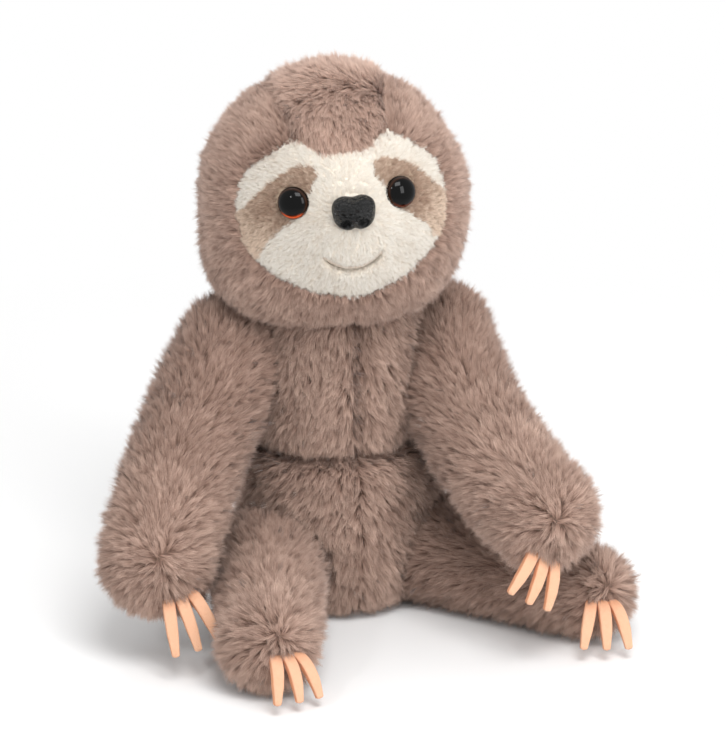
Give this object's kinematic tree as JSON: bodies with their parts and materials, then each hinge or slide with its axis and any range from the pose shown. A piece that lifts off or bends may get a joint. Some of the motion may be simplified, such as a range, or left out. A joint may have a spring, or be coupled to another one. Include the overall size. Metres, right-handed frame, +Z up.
{
  "type": "plush sloth",
  "caption": "Seated long-pile plush sloth with a turning head, lifting arms and swinging legs, a short-pile face, locked eyes and nose, and felt claws.",
  "frame": {"origin": "middle of the flat seat, on the surface the toy sits on, straight below the neck", "axes": "+Z up, the toy faces -Y, +X is the toy's left"},
  "size_m": [0.2123, 0.1673, 0.2286],
  "materials": {
    "long_plush": "long-pile plush, taupe with paler tips",
    "face_plush": "short-pile plush, cream",
    "patch_plush": "short-pile plush, brown-beige",
    "felt": "thick needled felt, peach",
    "thread": "embroidery thread",
    "stuffing": "loose polyester fibre",
    "bead_cloth": "woven lining cloth round plastic beads",
    "eye_plastic": "moulded, high gloss, dark brown rim",
    "nose_plastic": "moulded, pebbled, semi-gloss",
    "washer_plastic": "moulded lock washer"
  },
  "bodies": {
    "body": {"chest_cover_left": "long_plush", "chest_cover_right": "long_plush", "belly_cover": "long_plush", "chest_filling": "stuffing", "belly_filling": "stuffing", "bead_bag": "bead_cloth"},
    "head": {"head_gusset": "long_plush", "head_side_left": "long_plush", "head_side_right": "long_plush", "face_panel": "face_plush", "eye_patch_left": "patch_plush", "eye_patch_right": "patch_plush", "eye_left": "eye_plastic", "eye_right": "eye_plastic", "eye_washer_left": "washer_plastic", "eye_washer_right": "washer_plastic", "nose": "nose_plastic", "nose_washer": "washer_plastic", "mouth_stitch": "thread", "head_filling": "stuffing"},
    "arm_right": {"arm_right_cover": "long_plush", "arm_right_filling": "stuffing", "arm_right_claw_1": "felt", "arm_right_claw_2": "felt", "arm_right_claw_3": "felt"},
    "arm_left": {"arm_left_cover": "long_plush", "arm_left_filling": "stuffing", "arm_left_claw_1": "felt", "arm_left_claw_2": "felt", "arm_left_claw_3": "felt"},
    "leg_right": {"leg_right_cover": "long_plush", "leg_right_filling": "stuffing", "leg_right_claw_1": "felt", "leg_right_claw_2": "felt", "leg_right_claw_3": "felt"},
    "leg_left": {"leg_left_cover": "long_plush", "leg_left_filling": "stuffing", "leg_left_claw_1": "felt", "leg_left_claw_2": "felt", "leg_left_claw_3": "felt"}
  },
  "joints": [
    {"name": "head_turn", "type": "hinge", "parent": "body", "child": "head", "pos_m": [0, -0.005, 0.1755], "axis": [0, 0, 1], "range_deg": [-18, 36]},
    {"name": "arm_right_lift", "type": "hinge", "parent": "body", "child": "arm_right", "pos_m": [-0.042, 0, 0.107], "axis": [-0.7071, 0.7071, 0], "range_deg": [0, 56]},
    {"name": "arm_left_lift", "type": "hinge", "parent": "body", "child": "arm_left", "pos_m": [0.042, 0, 0.107], "axis": [-0.981, -0.1939, 0], "range_deg": [0, 38]},
    {"name": "leg_right_swing", "type": "hinge", "parent": "body", "child": "leg_right", "pos_m": [-0.033, -0.012, 0.022], "axis": [0, 0, 1], "range_deg": [0, 14]},
    {"name": "leg_left_swing", "type": "hinge", "parent": "body", "child": "leg_left", "pos_m": [0.033, -0.012, 0.022], "axis": [0, 0, 1], "range_deg": [0, 14]}
  ]
}
